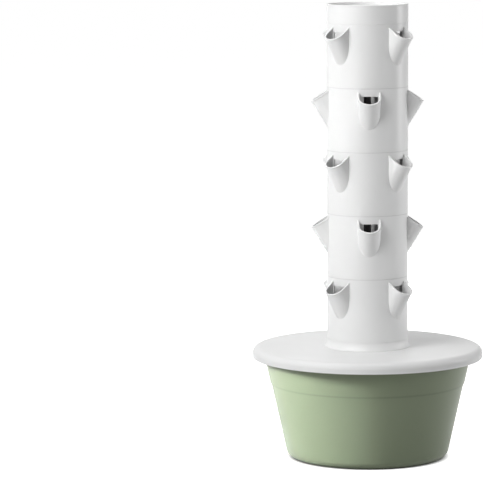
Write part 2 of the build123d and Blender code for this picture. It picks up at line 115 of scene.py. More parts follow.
def moulded_skin_group() -> bpy.types.NodeTree:
    """Fine grain and broad mottling of a moulded plastic skin.

    Returns:
        The group's tree, with the outputs Grain and Mottle.
    """
    group = ShaderGroup(
        "moulded_skin",
        {"Vector": "NodeSocketVector", "Grain Scale": "NodeSocketFloat", "Mottle Scale": "NodeSocketFloat"},
        {"Grain": "NodeSocketFloat", "Mottle": "NodeSocketFloat"},
    )
    for label, (detail, roughness) in SKIN_NOISE.items():
        noise = group.node("ShaderNodeTexNoise")
        noise.inputs["Detail"].default_value = detail
        noise.inputs["Roughness"].default_value = roughness
        group.link(group.source.outputs["Vector"], noise.inputs["Vector"])
        group.link(group.source.outputs[f"{label} Scale"], noise.inputs["Scale"])
        group.link(noise.outputs["Fac"], group.sink.inputs[label])
    return group.tree


def rub_marks_group() -> bpy.types.NodeTree:
    """Sparse hairline rub marks that handling leaves.

    Returns:
        The group's tree, with the output Mask.
    """
    group = ShaderGroup(
        "rub_marks",
        {
            "Vector": "NodeSocketVector",
            "Stretch": "NodeSocketVector",
            "Scale": "NodeSocketFloat",
            "Amount": "NodeSocketFloat",
        },
        {"Mask": "NodeSocketFloat"},
    )
    stretched = group.node("ShaderNodeVectorMath")
    stretched.operation = "MULTIPLY"
    group.link(group.source.outputs["Vector"], stretched.inputs[0])
    group.link(group.source.outputs["Stretch"], stretched.inputs[1])
    lines = group.node("ShaderNodeTexNoise")
    lines.inputs["Detail"].default_value = RUB_DETAIL
    group.link(stretched.outputs["Vector"], lines.inputs["Vector"])
    group.link(group.source.outputs["Scale"], lines.inputs["Scale"])
    patches = group.node("ShaderNodeTexNoise")
    patches.inputs["Scale"].default_value = PATCH_SCALE
    group.link(group.source.outputs["Vector"], patches.inputs["Vector"])
    sharp = group.node("ShaderNodeMapRange")
    sharp.inputs["From Min"].default_value, sharp.inputs["From Max"].default_value = RUB_BAND
    group.link(lines.outputs["Fac"], sharp.inputs["Value"])
    some = group.node("ShaderNodeMapRange")
    some.inputs["From Min"].default_value, some.inputs["From Max"].default_value = PATCH_BAND
    group.link(patches.outputs["Fac"], some.inputs["Value"])
    both = group.node("ShaderNodeMath")
    both.operation = "MULTIPLY"
    group.link(sharp.outputs["Result"], both.inputs[0])
    group.link(some.outputs["Result"], both.inputs[1])
    scaled = group.node("ShaderNodeMath")
    scaled.operation = "MULTIPLY"
    group.link(both.outputs["Value"], scaled.inputs[0])
    group.link(group.source.outputs["Amount"], scaled.inputs[1])
    group.link(scaled.outputs["Value"], group.sink.inputs["Mask"])
    return group.tree


@dataclass(frozen=True)
class Crease:
    """A level crease, or a row of seams, darkened in the colour as painted shade."""

    level: float
    reach: float
    tint: float
    half_pitch: float = 1.0
    rows: int = 1

    @property
    def lowest(self) -> float:
        """The level from which the first row counts."""
        return self.level - self.half_pitch

    @property
    def highest(self) -> float:
        """The level up to which the last row counts."""
        return self.lowest + 2 * self.rows * self.half_pitch


def crease_shade_group() -> bpy.types.NodeTree:
    """Painted shade: darkens the colour at the level creases and seams of a moulding, where shade would
    fall.

    Returns:
        The group's tree, with the output Color.
    """
    labels = ("Level", "Lowest", "Highest", "Half Pitch", "Reach", "Tint")
    sizes = dict.fromkeys(labels, "NodeSocketFloat")
    group = ShaderGroup(
        "crease_painted_shade",
        {"Vector": "NodeSocketVector", "Color": "NodeSocketColor", **sizes},
        {"Color": "NodeSocketColor"},
    )
    parts = group.node("ShaderNodeSeparateXYZ")
    group.link(group.source.outputs["Vector"], parts.inputs["Vector"])
    within = group.node("ShaderNodeClamp")
    group.link(parts.outputs["Z"], within.inputs["Value"])
    group.link(group.source.outputs["Lowest"], within.inputs["Min"])
    group.link(group.source.outputs["Highest"], within.inputs["Max"])
    above = group.node("ShaderNodeMath")
    above.operation = "SUBTRACT"
    group.link(within.outputs["Result"], above.inputs[0])
    group.link(group.source.outputs["Level"], above.inputs[1])
    away = group.node("ShaderNodeMath")
    away.operation = "PINGPONG"
    group.link(above.outputs["Value"], away.inputs[0])
    group.link(group.source.outputs["Half Pitch"], away.inputs[1])
    tint = group.node("ShaderNodeMapRange")
    tint.interpolation_type = "SMOOTHSTEP"
    tint.inputs["To Max"].default_value = 1.0
    group.link(away.outputs["Value"], tint.inputs["Value"])
    group.link(group.source.outputs["Reach"], tint.inputs["From Max"])
    group.link(group.source.outputs["Tint"], tint.inputs["To Min"])
    darker = group.node("ShaderNodeVectorMath")
    darker.operation = "SCALE"
    group.link(group.source.outputs["Color"], darker.inputs[0])
    group.link(tint.outputs["Result"], darker.inputs["Scale"])
    group.link(darker.outputs["Vector"], group.sink.inputs["Color"])
    return group.tree


@dataclass(frozen=True)
class Finish:
    """One material: two near tones, a range of roughness, a grain and rub marks."""

    slot: Slot
    tone: RGB
    shade: RGB
    rubbed: RGB
    roughness: tuple[float, float]
    grain_scale: float
    grain_depth: float
    mottle_scale: float
    rub_amount: float
    rub_stretch: tuple[float, float, float] = (1.0, 1.0, 0.06)
    rub_scale: float = 420.0
    metallic: float = 0.0
    specular: float = 0.5
    crease: Crease | None = None

    def material(self, skin: bpy.types.NodeTree, rubs: bpy.types.NodeTree,
                 creases: bpy.types.NodeTree) -> bpy.types.Material:
        """Builds the material.

        Args:
            skin: The moulded skin group.
            rubs: The rub marks group.
            creases: The group that paints shade into creases and seams.

        Returns:
            The finished material.
        """
        made = bpy.data.materials.new(self.slot.value)
        made.use_nodes = True
        nodes, links = made.node_tree.nodes, made.node_tree.links
        shader = nodes["Principled BSDF"]
        shader.inputs["Metallic"].default_value = self.metallic
        shader.inputs["Specular IOR Level"].default_value = self.specular
        place = nodes.new("ShaderNodeTexCoord")

        surface = nodes.new("ShaderNodeGroup")
        surface.node_tree = skin
        surface.inputs["Grain Scale"].default_value = self.grain_scale
        surface.inputs["Mottle Scale"].default_value = self.mottle_scale
        links.new(place.outputs["Object"], surface.inputs["Vector"])
        marks = nodes.new("ShaderNodeGroup")
        marks.node_tree = rubs
        marks.inputs["Stretch"].default_value = self.rub_stretch
        marks.inputs["Scale"].default_value = self.rub_scale
        marks.inputs["Amount"].default_value = self.rub_amount
        links.new(place.outputs["Object"], marks.inputs["Vector"])

        tones = nodes.new("ShaderNodeMix")
        tones.data_type = "RGBA"
        tones.inputs["A"].default_value = (*self.tone, 1)
        tones.inputs["B"].default_value = (*self.shade, 1)
        links.new(surface.outputs["Mottle"], tones.inputs["Factor"])
        worn = nodes.new("ShaderNodeMix")
        worn.data_type = "RGBA"
        worn.inputs["B"].default_value = (*self.rubbed, 1)
        links.new(marks.outputs["Mask"], worn.inputs["Factor"])
        links.new(tones.outputs["Result"], worn.inputs["A"])
        colour = worn.outputs["Result"]
        # Painted shade: the colour is darkened at the crease or seams, where shade falls.
        if self.crease is not None:
            painted_shade = nodes.new("ShaderNodeGroup")
            painted_shade.node_tree = creases
            painted_shade.inputs["Level"].default_value = self.crease.level
            painted_shade.inputs["Lowest"].default_value = self.crease.lowest
            painted_shade.inputs["Highest"].default_value = self.crease.highest
            painted_shade.inputs["Half Pitch"].default_value = self.crease.half_pitch
            painted_shade.inputs["Reach"].default_value = self.crease.reach
            painted_shade.inputs["Tint"].default_value = self.crease.tint
            links.new(place.outputs["Object"], painted_shade.inputs["Vector"])
            links.new(colour, painted_shade.inputs["Color"])
            colour = painted_shade.outputs["Color"]
        links.new(colour, shader.inputs["Base Color"])

        gloss = nodes.new("ShaderNodeMapRange")
        gloss.inputs["From Min"].default_value, gloss.inputs["From Max"].default_value = GLOSS_BAND
        gloss.inputs["To Min"].default_value, gloss.inputs["To Max"].default_value = self.roughness
        links.new(surface.outputs["Mottle"], gloss.inputs["Value"])
        dulled = nodes.new("ShaderNodeMath")
        dulled.operation = "MULTIPLY_ADD"
        dulled.inputs[1].default_value = RUB_DULLING
        links.new(marks.outputs["Mask"], dulled.inputs[0])
        links.new(gloss.outputs["Result"], dulled.inputs[2])
        links.new(dulled.outputs["Value"], shader.inputs["Roughness"])

        bump = nodes.new("ShaderNodeBump")
        bump.inputs["Strength"].default_value = 1.0
        bump.inputs["Distance"].default_value = self.grain_depth
        links.new(surface.outputs["Grain"], bump.inputs["Height"])
        links.new(bump.outputs["Normal"], shader.inputs["Normal"])
        return made


# Painted shade: a dark band in the tub's colour just at its step.
TUB_STEP_SHADE = Crease(level=148.6 * MM, reach=3.5 * MM, tint=0.84)
MODULES = sorted(name for name in frame["nodes"] if name.startswith("tower_module_"))
SPIGOT_LENGTH = 10.0 * MM
SEAM_LEVELS = [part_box(node)[0].z + SPIGOT_LENGTH for node in MODULES[1:]]
# Painted shade: a dark line in the tower's colour at each seam between the modules.
TOWER_SEAM_SHADE = Crease(
    level=SEAM_LEVELS[0], reach=1.2 * MM, tint=0.84,
    half_pitch=(SEAM_LEVELS[1] - SEAM_LEVELS[0]) / 2, rows=len(SEAM_LEVELS),
)
FINISHES: tuple[Finish, ...] = (
    Finish(
        Slot.TOWER, tone=(0.82, 0.82, 0.815), shade=(0.78, 0.785, 0.785), rubbed=(0.70, 0.70, 0.69),
        roughness=(0.36, 0.48), grain_scale=1900.0, grain_depth=0.02 * MM, mottle_scale=11.0,
        rub_amount=0.25, crease=TOWER_SEAM_SHADE,
    ),
    Finish(
        Slot.LID, tone=(0.80, 0.80, 0.795), shade=(0.765, 0.77, 0.77), rubbed=(0.72, 0.72, 0.71),
        roughness=(0.34, 0.44), grain_scale=1500.0, grain_depth=0.012 * MM, mottle_scale=8.0,
        rub_amount=0.3, rub_stretch=(0.12, 1.0, 1.0), specular=0.2,
    ),
    Finish(
        Slot.TUB, tone=(0.198, 0.234, 0.155), shade=(0.184, 0.219, 0.143), rubbed=(0.243, 0.271, 0.209),
        roughness=(0.32, 0.42), grain_scale=1500.0, grain_depth=0.025 * MM, mottle_scale=9.0,
        rub_amount=0.3, specular=0.26, crease=TUB_STEP_SHADE,
    ),
    Finish(
        Slot.PIPE, tone=(0.030, 0.030, 0.032), shade=(0.022, 0.022, 0.024), rubbed=(0.07, 0.07, 0.07),
        roughness=(0.36, 0.50), grain_scale=900.0, grain_depth=0.02 * MM, mottle_scale=40.0,
        rub_amount=0.5,
    ),
    Finish(
        Slot.PUMP, tone=(0.022, 0.022, 0.024), shade=(0.016, 0.016, 0.018), rubbed=(0.06, 0.06, 0.06),
        roughness=(0.48, 0.62), grain_scale=1100.0, grain_depth=0.06 * MM, mottle_scale=60.0,
        rub_amount=0.5,
    ),
    Finish(
        Slot.ROTOR, tone=(0.115, 0.115, 0.125), shade=(0.085, 0.085, 0.09), rubbed=(0.2, 0.2, 0.2),
        roughness=(0.45, 0.6), grain_scale=1400.0, grain_depth=0.04 * MM, mottle_scale=120.0,
        rub_amount=0.4, metallic=0.35,
    ),
    Finish(
        Slot.SHAFT, tone=(0.62, 0.62, 0.61), shade=(0.54, 0.54, 0.54), rubbed=(0.7, 0.7, 0.7),
        roughness=(0.18, 0.3), grain_scale=2200.0, grain_depth=0.01 * MM, mottle_scale=200.0,
        rub_amount=0.3, rub_stretch=(0.04, 1.0, 1.0), metallic=1.0,
    ),
    Finish(
        Slot.RUBBER, tone=(0.026, 0.026, 0.026), shade=(0.02, 0.02, 0.02), rubbed=(0.06, 0.06, 0.058),
        roughness=(0.68, 0.82), grain_scale=1300.0, grain_depth=0.05 * MM, mottle_scale=90.0,
        rub_amount=0.35,
    ),
    Finish(
        Slot.SILICONE, tone=(0.60, 0.60, 0.57), shade=(0.52, 0.52, 0.49), rubbed=(0.66, 0.66, 0.64),
        roughness=(0.34, 0.46), grain_scale=1200.0, grain_depth=0.02 * MM, mottle_scale=60.0,
        rub_amount=0.2,
    ),
)


class Paints:
    """The finishes as materials, and the CAD nodes dressed in them."""

    def __init__(self) -> None:
        """Builds the shared groups and every material."""
        groups = moulded_skin_group(), rub_marks_group(), crease_shade_group()
        self.by_slot = {finish.slot: finish.material(*groups) for finish in FINISHES}

    def dress_nodes(self) -> None:
        """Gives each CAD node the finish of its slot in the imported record."""
        for part in frame["record"]["subparts"]:
            node = frame["nodes"][part["node"]]
            for place in node.material_slots:
                place.material = self.by_slot[Slot(part["material_slot"])]


class GeometryTree:
    """A Geometry Nodes tree built in code, with named inputs for its sizes."""

    def __init__(self, name: str, sizes: dict[str, str]) -> None:
        """Makes the tree with its inputs.

        Args:
            name: Name of the tree.
            sizes: Socket type for each input's name.
        """
        self.tree = bpy.data.node_groups.new(name, "GeometryNodeTree")
        face = self.tree.interface
        face.new_socket("Geometry", in_out="INPUT", socket_type="NodeSocketGeometry")
        face.new_socket("Geometry", in_out="OUTPUT", socket_type="NodeSocketGeometry")
        self.inputs = {
            label: face.new_socket(label, in_out="INPUT", socket_type=kind).identifier
            for label, kind in {**sizes, "Material": "NodeSocketMaterial"}.items()
        }
        self.source = self.tree.nodes.new("NodeGroupInput")
        self.sink = self.tree.nodes.new("NodeGroupOutput")

    def node(self, kind: str, **settings: object) -> bpy.types.Node:
        """Adds a node.

        Args:
            kind: The node's type.
            settings: Values of the node's own properties.

        Returns:
            The new node.
        """
        made = self.tree.nodes.new(kind)
        for label, value in settings.items():
            setattr(made, label, value)
        return made

    def link(self, start: bpy.types.NodeSocket, end: bpy.types.NodeSocket) -> None:
        """Joins two sockets of the tree."""
        self.tree.links.new(start, end)

    def size(self, label: str) -> bpy.types.NodeSocket:
        """The named input, as a socket to link from."""
        return self.source.outputs[label]

    def finish(self, instances: bpy.types.NodeSocket, smooth: bool) -> None:
        """Ends the tree: real meshes, shaded and with their material.

        Args:
            instances: The geometry that the tree has made so far.
            smooth: True where the faces are shaded smooth.
        """
        real = self.node("GeometryNodeRealizeInstances")
        shade = self.node("GeometryNodeSetShadeSmooth")
        shade.inputs["Shade Smooth"].default_value = smooth
        paint = self.node("GeometryNodeSetMaterial")
        self.link(instances, real.inputs["Geometry"])
        self.link(real.outputs["Geometry"], shade.inputs["Geometry"])
        self.link(shade.outputs["Geometry"], paint.inputs["Geometry"])
        self.link(self.size("Material"), paint.inputs["Material"])
        self.link(paint.outputs["Geometry"], self.sink.inputs["Geometry"])

    def make(self, name: str, data: bpy.types.ID, sizes: dict[str, object]) -> bpy.types.Object:
        """Runs the tree on a curve or a mesh, and keeps the result as a plain mesh.

        Args:
            name: Name of the new piece.
            data: The curve or mesh that the tree works on.
            sizes: Value for each named input.

        Returns:
            The new mesh object, at the origin.
        """
        worker = bpy.data.objects.new(f"{name}_source", data)
        bpy.context.scene.collection.objects.link(worker)
        modifier = worker.modifiers.new("tree", "NODES")
        modifier.node_group = self.tree
        for label, value in sizes.items():
            modifier[self.inputs[label]] = value
        bpy.context.view_layer.update()
        shaped = worker.evaluated_get(bpy.context.evaluated_depsgraph_get())
        mesh = bpy.data.meshes.new_from_object(shaped)
        mesh.name = name
        worker.modifiers.remove(modifier)
        bpy.data.objects.remove(worker)
        piece = bpy.data.objects.new(name, mesh)
        bpy.context.scene.collection.objects.link(piece)
        return piece


def round_the_axis(tree: GeometryTree, shape: bpy.types.NodeSocket) -> bpy.types.NodeSocket:
    """Copies a shape round the tower's axis, by the tree's inputs Copies, Turn and Level.

    Args:
        tree: The tree that gets the nodes.
        shape: The geometry to copy.

    Returns:
        The instances.
    """
    points = tree.node("GeometryNodeMeshLine", mode="OFFSET")
    points.inputs["Offset"].default_value = (0, 0, 0)
    start = tree.node("ShaderNodeCombineXYZ")
    tree.link(tree.size("Level"), start.inputs["Z"])
    tree.link(start.outputs["Vector"], points.inputs["Start Location"])
    tree.link(tree.size("Copies"), points.inputs["Count"])
    index = tree.node("GeometryNodeInputIndex")
    step = tree.node("ShaderNodeMath", operation="DIVIDE")
    step.inputs[0].default_value = math.tau
    tree.link(tree.size("Copies"), step.inputs[1])
    angle = tree.node("ShaderNodeMath", operation="MULTIPLY_ADD")
    tree.link(index.outputs["Index"], angle.inputs[0])
    tree.link(step.outputs["Value"], angle.inputs[1])
    tree.link(tree.size("Turn"), angle.inputs[2])
    spin = tree.node("ShaderNodeCombineXYZ")
    tree.link(angle.outputs["Value"], spin.inputs["Z"])
    turned = tree.node("FunctionNodeEulerToRotation")
    tree.link(spin.outputs["Vector"], turned.inputs["Euler"])
    placed = tree.node("GeometryNodeInstanceOnPoints")
    tree.link(points.outputs["Mesh"], placed.inputs["Points"])
    tree.link(shape, placed.inputs["Instance"])
    tree.link(turned.outputs["Rotation"], placed.inputs["Rotation"])
    return placed.outputs["Instances"]


class TrimTrees:
    """The Geometry Nodes trees that make the tower's repeated trim."""

    def __init__(self) -> None:
        """Builds each tree once."""
        self.bead = self._bead_tree()
        self.ring_of = self._ring_tree()
        self.row_of = self._row_tree()

    @staticmethod
    def _bead_tree() -> GeometryTree:
        """A band with rounded edges along a path, repeated round the axis."""
        tree = GeometryTree(
            "rolled_bead",
            {
                "Width": "NodeSocketFloat",
                "Height": "NodeSocketFloat",
                "Rounding": "NodeSocketFloat",
                "Copies": "NodeSocketInt",
                "Turn": "NodeSocketFloat",
                "Level": "NodeSocketFloat",
            },
        )
        section = tree.node("GeometryNodeCurvePrimitiveQuadrilateral", mode="RECTANGLE")
        tree.link(tree.size("Width"), section.inputs["Width"])
        tree.link(tree.size("Height"), section.inputs["Height"])
        rounded = tree.node("GeometryNodeFilletCurve", mode="POLY")
        rounded.inputs["Count"].default_value = EDGE_STEPS
        tree.link(section.outputs["Curve"], rounded.inputs["Curve"])
        tree.link(tree.size("Rounding"), rounded.inputs["Radius"])
        swept = tree.node("GeometryNodeCurveToMesh")
        swept.inputs["Fill Caps"].default_value = True
        tree.link(tree.size("Geometry"), swept.inputs["Curve"])
        tree.link(rounded.outputs["Curve"], swept.inputs["Profile Curve"])
        tree.finish(round_the_axis(tree, swept.outputs["Mesh"]), True)
        return tree

    @staticmethod
    def _ring_tree() -> GeometryTree:
        """Copies of one moulded shape round the axis."""
        tree = GeometryTree(
            "ring_of_pieces",
            {"Copies": "NodeSocketInt", "Turn": "NodeSocketFloat", "Level": "NodeSocketFloat"},
        )
        tree.finish(round_the_axis(tree, tree.size("Geometry")), False)
        return tree

    @staticmethod
    def _row_tree() -> GeometryTree:
        """Copies of one moulded shape in a straight row."""
        tree = GeometryTree(
            "row_of_pieces",
            {"Copies": "NodeSocketInt", "Start": "NodeSocketVector", "Step": "NodeSocketVector"},
        )
        points = tree.node("GeometryNodeMeshLine", mode="OFFSET")
        tree.link(tree.size("Copies"), points.inputs["Count"])
        tree.link(tree.size("Start"), points.inputs["Start Location"])
        tree.link(tree.size("Step"), points.inputs["Offset"])
        placed = tree.node("GeometryNodeInstanceOnPoints")
        tree.link(points.outputs["Mesh"], placed.inputs["Points"])
        tree.link(tree.size("Geometry"), placed.inputs["Instance"])
        tree.finish(placed.outputs["Instances"], False)
        return tree


def path_curve(name: str, points: list[Vector], closed: bool) -> bpy.types.Curve:
    """A path of straight steps for a bead to follow.

    Args:
        name: Name of the curve.
        points: The path's points.
        closed: True for a closed ring.

    Returns:
        The curve.
    """
    curve = bpy.data.curves.new(name, "CURVE")
    curve.dimensions = "3D"
    spline = curve.splines.new("POLY")
    spline.points.add(len(points) - 1)
    for place, point in zip(spline.points, points):
        place.co = (*point, 1)
    spline.use_cyclic_u = closed
    return curve


def ring_path(name: str, radius: float, level: float, steps: int = RING_STEPS) -> bpy.types.Curve:
    """A level ring about the tower's axis.

    Args:
        name: Name of the curve.
        radius: The ring's radius.
        level: Height above the ground.
        steps: Number of points.

    Returns:
        The curve.
    """
    angles = [math.tau * step / steps for step in range(steps)]
    points = [Vector((radius * math.cos(angle), radius * math.sin(angle), level)) for angle in angles]
    return path_curve(name, points, True)


def soft_block(name: str, low: Vector, high: Vector, taper: float, edge: float) -> bpy.types.Mesh:
    """A moulded rib: a block whose lower side is narrower, with rounded edges.

    Args:
        name: Name of the mesh.
        low: Lowest corner.
        high: Highest corner.
        taper: How much each side of the lower face is drawn in.
        edge: Rounding of the edges.

    Returns:
        The mesh.
    """
    shape = bmesh.new()
    bmesh.ops.create_cube(shape, size=1.0)
    middle, span = (low + high) / 2, high - low
    for vert in shape.verts:
        inward = taper if vert.co.z < 0 else 0.0
        vert.co = Vector((
            middle.x + vert.co.x * (span.x - 2 * inward),
            middle.y + vert.co.y * (span.y - 2 * inward),
            middle.z + vert.co.z * span.z,
        ))
    bmesh.ops.bevel(
        shape, geom=shape.edges[:], offset=edge, segments=BEVEL_STEPS, profile=0.5, affect="EDGES"
    )
    mesh = bpy.data.meshes.new(name)
    shape.to_mesh(mesh)
    shape.free()
    return mesh


@dataclass(frozen=True)
class Section:
    """Section of a bead: a block with rounded edges."""

    width: float
    height: float
    rounding: float

    @classmethod
    def round(cls, radius: float) -> "Section":
        """A section that is round, but for short flats."""
        return cls(2 * radius, 2 * radius, ROUND_SHARE * radius)


@dataclass
class SubAssembly:
    """What every sub-assembly needs: the trim trees and the finishes."""

    trees: TrimTrees
    paints: Paints

    def keep(self, piece: bpy.types.Object, body: str, slot: Slot) -> bpy.types.Object:
        """Fastens a new piece to its CAD body.

        Args:
            piece: The new piece.
            body: The CAD body that carries it.
            slot: The record's slot of its finish; not used.

        Returns:
            The same piece.
        """
        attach(piece, body)
        LOG.info("%s rides on %s, %d faces", piece.name, body, len(piece.data.polygons))
        return piece

    def bead(self, name: str, path: bpy.types.Curve, section: Section, slot: Slot, copies: int = 1,
             turn: float = 0.0, level: float = 0.0) -> bpy.types.Object:
        """A rolled bead along a path.

        Args:
            name: Name of the piece.
            path: The path, in the tower's frame or relative to level.
            section: Sizes of the bead's section.
            slot: Slot of its finish.
            copies: How many go round the axis.
            turn: Angle of the first one.
            level: Height that the path is lifted by.

        Returns:
            The new piece.
        """
        sizes = {"Width": section.width, "Height": section.height, "Rounding": section.rounding}
        places = {"Copies": copies, "Turn": turn, "Level": level}
        return self.trees.bead.make(name, path, {**sizes, **places, "Material": self.paints.by_slot[slot]})


@dataclass
class TowerStack(SubAssembly):
    """The five planting modules, with a rolled lip round the mouth of every pocket."""

    pocket_width: float = 44.0 * MM
    pocket_wall: float = 2.2 * MM
    pocket_reach: float = 30.7 * MM
    pocket_lean: float = math.radians(31.0)
    mouth_slope: float = math.radians(33.5)
    mouth_level: float = 116.3 * MM
    tower_radius: float = 80.0 * MM
    lip: Section = Section(3.5 * MM, 3.6 * MM, 0.9 * MM)
    lip_rise: float = 0.5 * MM
    wall_bite: float = 0.3 * MM
    search_step: float = 0.5 * MM
    pockets: int = 4
    round_steps: int = 28
    straight_steps: int = 6

    def mouth_point(self, along: float, across: float) -> Vector:
        """A point of the pocket's wall, slid along the pocket to its sloping mouth.

        Args:
            along: Place in the pocket's section, outwards from the centre of its round.
            across: Place in the section, sideways.

        Returns:
            The point in the frame of a module with a pocket towards +X.
        """
        lean, slope = self.pocket_lean, self.mouth_slope
        half = self.pocket_width / 2
        tip_level = self.mouth_level - self.pocket_reach * math.tan(slope)
        radius = self.tower_radius + self.pocket_reach + (along - half) * math.cos(lean)
        level = tip_level - (along - half) * math.sin(lean)
        gap = self.mouth_level - (radius - self.tower_radius) * math.tan(slope) - level
        slide = gap / (math.cos(lean) + math.sin(lean) * math.tan(slope))
        return Vector((radius + slide * math.sin(lean), across, level + slide * math.cos(lean)))

    def mouth_path(self) -> bpy.types.Curve:
        """The lip's path: out along one side of the mouth, round its tip and back along the other."""
        middle = (self.pocket_width - self.pocket_wall) / 2
        root = self.tower_radius - self.wall_bite
        reach = 0.0
        while self.mouth_point(-reach, middle).xy.length > root:
            reach += self.search_step
        sides = [reach * step / self.straight_steps for step in range(self.straight_steps, 0, -1)]
        spots = [(-side, -middle) for side in sides]
        for step in range(self.round_steps + 1):
            angle = math.pi * (step / self.round_steps - 0.5)
            spots.append((middle * math.cos(angle), middle * math.sin(angle)))
        spots += [(-side, middle) for side in reversed(sides)]
        sink = self.lip.height / 2 - self.lip_rise
        sunk = sink * Vector((math.sin(self.mouth_slope), 0, math.cos(self.mouth_slope)))
        return path_curve("pocket_mouth", [self.mouth_point(*spot) - sunk for spot in spots], False)

    def build(self) -> None:
        """Makes the lips of each module as one piece."""
        for number, node in enumerate(MODULES, start=1):
            turning = Turning.DIAGONAL if number % 2 else Turning.SQUARE
            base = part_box(node)[0].z + SPIGOT_LENGTH
            lips = self.bead(
                f"pocket_lips_{number}", self.mouth_path(), self.lip, Slot.TOWER,
                self.pockets, turning.value, base,
            )
            self.keep(lips, f"module_{number}", Slot.TOWER)


@dataclass
class Crown(SubAssembly):
    """The open top: a rolled rim, and a grip round the knob of the loose cover."""

    wall: float = 2.4 * MM
    rim_radius: float = 1.45 * MM
    rim_sink: float = 0.95 * MM
    knob_radius: float = 11.0 * MM
    grip_count: int = 24
    grip_width: float = 1.3 * MM
    grip_height: float = 1.7 * MM
    grip_edge: float = 0.25 * MM

    def build(self) -> None:
        """Makes the rim and the knob's grip."""
        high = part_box("crown_bowl")[1]
        rim_path = ring_path("crown_rim_path", high.x - self.wall / 2, high.z - self.rim_sink)
        rim = self.bead("crown_rim", rim_path, Section.round(self.rim_radius), Slot.TOWER)
        self.keep(rim, "crown", Slot.TOWER)
        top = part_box("top_cover")[1].z
        corner = Vector((self.knob_radius + self.grip_width / 2, self.grip_width / 2, top - self.grip_edge))
        across = Vector((self.grip_width, self.grip_width, self.grip_height))
        tooth = soft_block("knob_tooth", corner - across, corner, taper=0.0, edge=self.grip_edge)
        sizes = {"Copies": self.grip_count, "Turn": 0.0, "Level": 0.0}
        grip = self.trees.ring_of.make(
            "cover_knob_grip", tooth, {**sizes, "Material": self.paints.by_slot[Slot.TOWER]}
        )
        self.keep(grip, "cover", Slot.TOWER)


@dataclass
class TubLid(SubAssembly):
    """The lid: a rolled lower lip, ribs underneath, and a ridged grip on its fill cap."""

    wall: float = 2.6 * MM
    lip_radius: float = 1.6 * MM
    lip_rise: float = 0.9 * MM
    lip_tuck: float = 0.5 * MM
    rib_count: int = 16
    rib_inner: float = 90.0 * MM
    rib_outer: float = 190.0 * MM
    rib_thickness: float = 2.2 * MM
    rib_depth: float = 7.0 * MM
    rib_edge: float = 0.4 * MM
    ridge_count: int = 7
    ridge_pitch: float = 4.0 * MM
    ridge_width: float = 1.6 * MM
    ridge_depth: float = 10.2 * MM
    ridge_height: float = 4.6 * MM
    ridge_sink: float = 2.0 * MM
    ridge_edge: float = 0.4 * MM

    def build(self) -> None:
        """Makes the lip, the ribs and the cap's ridges."""
        low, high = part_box("tub_lid")
        lip_path = ring_path(
            "lid_lip_path", high.x - self.lip_tuck - self.wall / 2, low.z + self.lip_rise, WIDE_RING_STEPS
        )
        lip = self.bead("lid_lip", lip_path, Section.round(self.lip_radius), Slot.LID)
        self.keep(lip, "lid", Slot.LID)
        under = high.z - self.wall
        rib = soft_block(
            "lid_rib",
            Vector((self.rib_inner, -self.rib_thickness / 2, under - self.rib_depth)),
            Vector((self.rib_outer, self.rib_thickness / 2, under + self.wall / 2)),
            taper=self.rib_edge,
            edge=self.rib_edge,
        )
        sizes = {"Copies": self.rib_count, "Turn": math.pi / self.rib_count, "Level": 0.0}
        white = self.paints.by_slot[Slot.LID]
        ribs = self.trees.ring_of.make("lid_ribs", rib, {**sizes, "Material": white})
        self.keep(ribs, "lid", Slot.LID)
        cap_low, cap_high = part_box("fill_cap")
        middle = (cap_low + cap_high) / 2
        top = cap_high.z - self.ridge_sink
        ridge = soft_block(
            "cap_ridge",
            Vector((-self.ridge_width / 2, middle.y - self.ridge_depth / 2, top - self.ridge_height)),
            Vector((self.ridge_width / 2, middle.y + self.ridge_depth / 2, top)),
            taper=0.0,
            edge=self.ridge_edge,
        )
        start = middle.x - self.ridge_pitch * (self.ridge_count - 1) / 2
        row = {"Copies": self.ridge_count, "Start": (start, 0, 0), "Step": (self.ridge_pitch, 0, 0)}
        ridges = self.trees.row_of.make("fill_cap_ridges", ridge, {**row, "Material": white})
        self.keep(ridges, "fill_cap", Slot.LID)


@dataclass
class ReservoirTub(SubAssembly):
    """The tub: a rolled rim under the lid."""

    rim_radius: float = 1.9 * MM
    rim_bulge: float = 0.3 * MM
    rim_sink: float = 5.95 * MM

    def build(self) -> None:
        """Makes the rim's rolled edge."""
        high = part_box("tub")[1]
        edge = high.x - self.rim_radius + self.rim_bulge
        path = ring_path("tub_rim_path", edge, high.z - self.rim_sink, WIDE_RING_STEPS)
        rim = self.bead("tub_rim", path, Section.round(self.rim_radius), Slot.TUB)
        self.keep(rim, "reservoir", Slot.TUB)


@dataclass
class PumpSet(SubAssembly):
    """The pump in the tub: cooling ribs on its motor block."""

    rib_count: int = 7
    rib_pitch: float = 5.0 * MM
    rib_width: float = 2.0 * MM
    rib_height: float = 1.6 * MM
    rib_edge: float = 0.4 * MM
    motor_round: float = 7.0 * MM
    motor_width: float = 42.0 * MM
    motor_rise: float = 22.0 * MM
    outlet_room: float = 14.0 * MM

    def build(self) -> None:
        """Makes the ribs across the top of the motor block."""
        plate_low, plate_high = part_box("pump_intake_plate")
        axis = (plate_low + plate_high) / 2
        reach = self.motor_width / 2 - self.motor_round
        top = axis.z + self.motor_rise
        rib = soft_block(
            "pump_rib",
            Vector((-self.rib_width / 2, axis.y - reach, top - self.rib_height)),
            Vector((self.rib_width / 2, axis.y + reach, top + self.rib_height)),
            taper=0.0,
            edge=self.rib_edge,
        )
        row = {"Copies": self.rib_count, "Start": (self.outlet_room, 0, 0), "Step": (self.rib_pitch, 0, 0)}
        ribs = self.trees.row_of.make("pump_ribs", rib, {**row, "Material": self.paints.by_slot[Slot.PUMP]})
        self.keep(ribs, "reservoir", Slot.PUMP)


